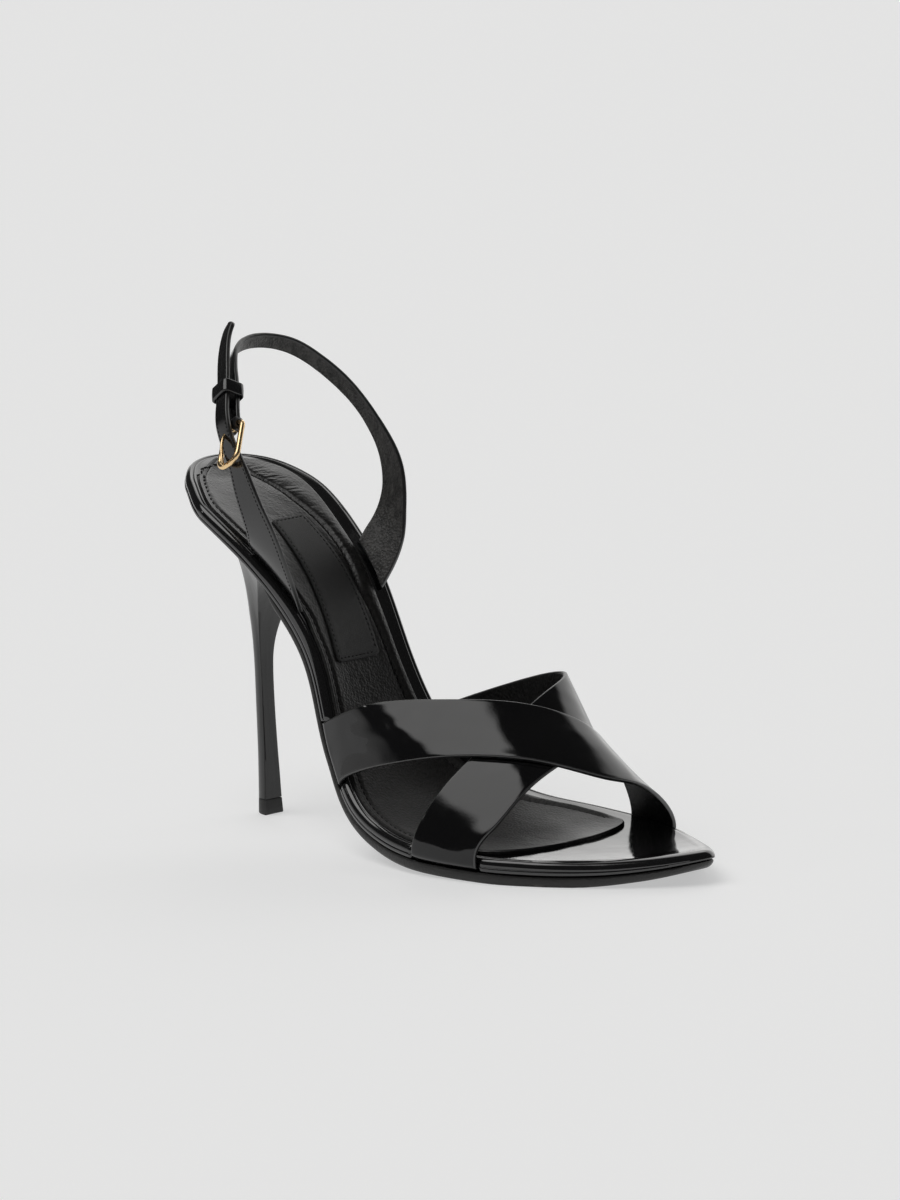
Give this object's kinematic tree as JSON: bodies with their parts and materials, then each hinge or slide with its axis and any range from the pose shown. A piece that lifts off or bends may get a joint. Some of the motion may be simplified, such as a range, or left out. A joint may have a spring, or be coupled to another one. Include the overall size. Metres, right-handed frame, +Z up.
{
  "type": "slingback sandal",
  "caption": "Right high-heeled slingback sandal with a pointed toe, crossed forefoot bands, a slim heel and a buckled ankle strap.",
  "frame": {"origin": "middle of the overall bounding box in plan, on the floor plane under the sole", "axes": "+X from the heel towards the toe, +Y towards the inner side of the foot, +Z up from the floor"},
  "size_m": [0.1962, 0.0878, 0.1537],
  "materials": {
    "patent_black": "high-gloss patent",
    "strap_black": "gloss face, matt lining",
    "heel_black": "smooth semi-gloss covering over a moulded heel",
    "sock_black": "semi-matt, fine grain",
    "sole_black": "semi-gloss painted",
    "rubber_black": "matt",
    "patch_black": "matt, bare",
    "gold": "polished, gold plated"
  },
  "bodies": {
    "root": {"insole": "patent_black", "outsole": "sole_black", "sock_lining": "sock_black", "label_patch": "patch_black", "heel": "heel_black", "heel_top_piece": "rubber_black", "upper": "patent_black", "sling": "strap_black", "buckled_strap": "strap_black", "buckle_frame": "gold", "buckle_prong": "gold", "keeper": "strap_black"}
  },
  "joints": []
}
